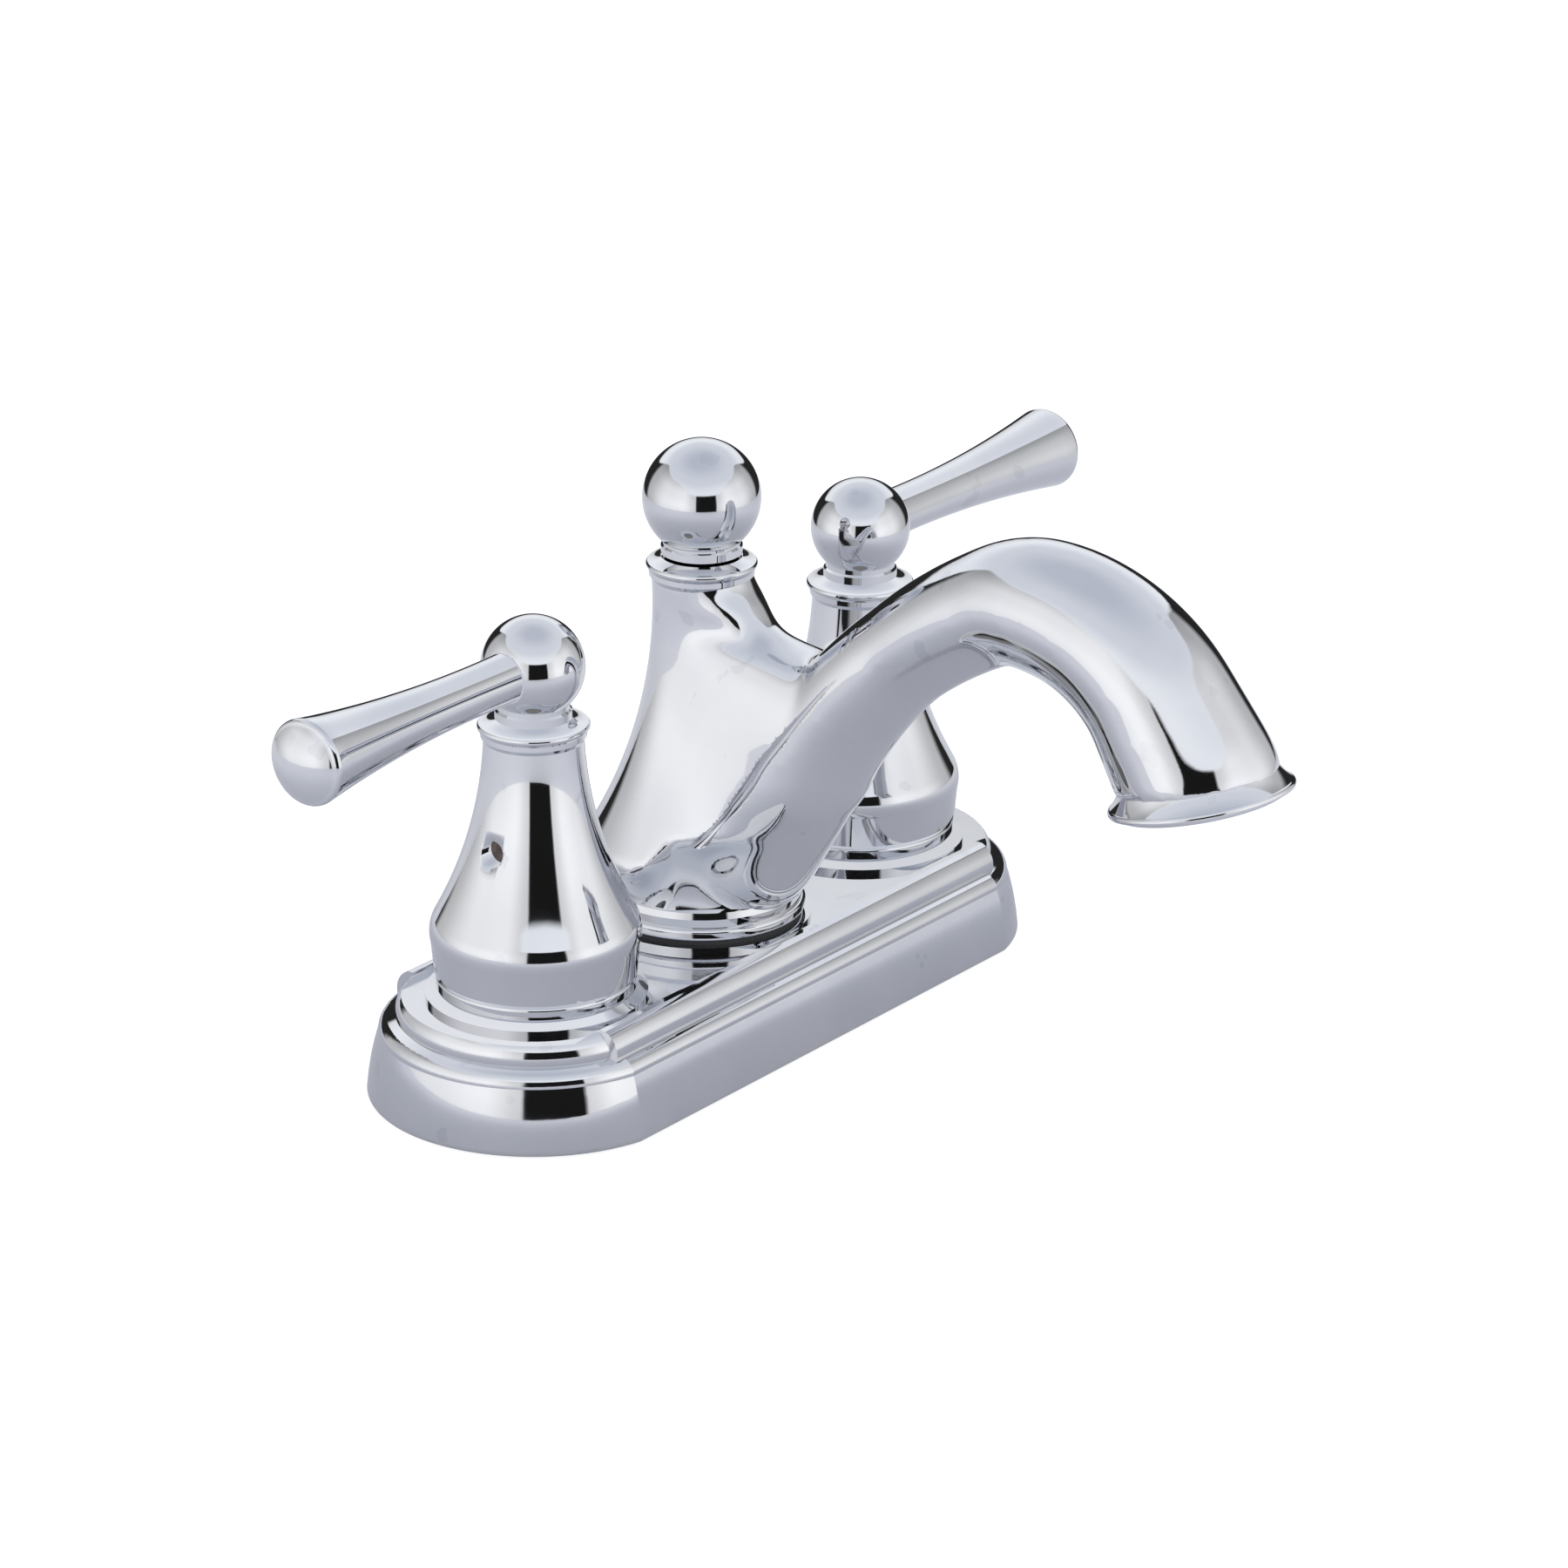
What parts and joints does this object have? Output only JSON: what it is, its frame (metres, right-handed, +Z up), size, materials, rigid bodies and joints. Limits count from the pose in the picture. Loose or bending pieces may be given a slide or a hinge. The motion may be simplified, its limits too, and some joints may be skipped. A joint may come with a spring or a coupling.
{
  "type": "bathroom faucet",
  "caption": "Centerset bathroom faucet: lever handles, an arched spout and a lift-rod ball on one moulded base plate.",
  "frame": {"origin": "on the deck, under the gasket's middle, on the lift rod's axis", "axes": "+X from the hot handle to the cold handle, -Y towards the user and the spout's outlet, +Z up"},
  "size_m": [0.2354, 0.1623, 0.2333],
  "materials": {
    "polished_chrome": "mirror polished chrome plate",
    "polished_rod": "polished",
    "raw_brass": "machined",
    "screw_steel": "plain",
    "washer_steel": "zinc plated",
    "nut_plastic": "moulded",
    "grey_plastic": "moulded",
    "black_rubber": "matt",
    "valve_ceramic": "lapped"
  },
  "bodies": {
    "faucet_body": {"base_plate": "polished_chrome", "spout_body": "polished_chrome", "aerator_housing": "polished_chrome", "base_gasket": "black_rubber", "spout_gasket": "black_rubber", "riser_oring": "black_rubber", "aerator_washer": "black_rubber", "waterway_body": "raw_brass", "spout_locknut": "raw_brass", "aerator_screen": "grey_plastic", "hot_cartridge": "raw_brass", "hot_fixed_disc": "valve_ceramic", "hot_seat_seal": "black_rubber", "hot_stem_oring": "black_rubber", "hot_bonnet_nut": "raw_brass", "hot_base_locknut": "raw_brass", "hot_mounting_washer": "washer_steel", "hot_mounting_nut": "nut_plastic", "cold_cartridge": "raw_brass", "cold_fixed_disc": "valve_ceramic", "cold_seat_seal": "black_rubber", "cold_stem_oring": "black_rubber", "cold_bonnet_nut": "raw_brass", "cold_base_locknut": "raw_brass", "cold_mounting_washer": "washer_steel", "cold_mounting_nut": "nut_plastic"},
    "hot_handle_set": {"hot_handle": "polished_chrome", "hot_lever": "polished_chrome", "hot_set_screw": "screw_steel", "hot_stem": "raw_brass", "hot_moving_disc": "valve_ceramic"},
    "cold_handle_set": {"cold_handle": "polished_chrome", "cold_lever": "polished_chrome", "cold_set_screw": "screw_steel", "cold_stem": "raw_brass", "cold_moving_disc": "valve_ceramic"},
    "lift_rod_set": {"lift_rod_knob": "polished_chrome", "lift_rod": "polished_rod"}
  },
  "joints": [
    {"name": "hot_handle_turn", "type": "hinge", "parent": "faucet_body", "child": "hot_handle_set", "pos_m": [-0.0508, 0, 0], "axis": [0, 0, 1], "range_deg": [0, 90]},
    {"name": "cold_handle_turn", "type": "hinge", "parent": "faucet_body", "child": "cold_handle_set", "pos_m": [0.0508, 0, 0], "axis": [0, 0, 1], "range_deg": [-90, 0]},
    {"name": "lift_rod_pull", "type": "slide", "parent": "faucet_body", "child": "lift_rod_set", "axis": [0, 0, 1], "range_m": [0, 0.028]}
  ]
}
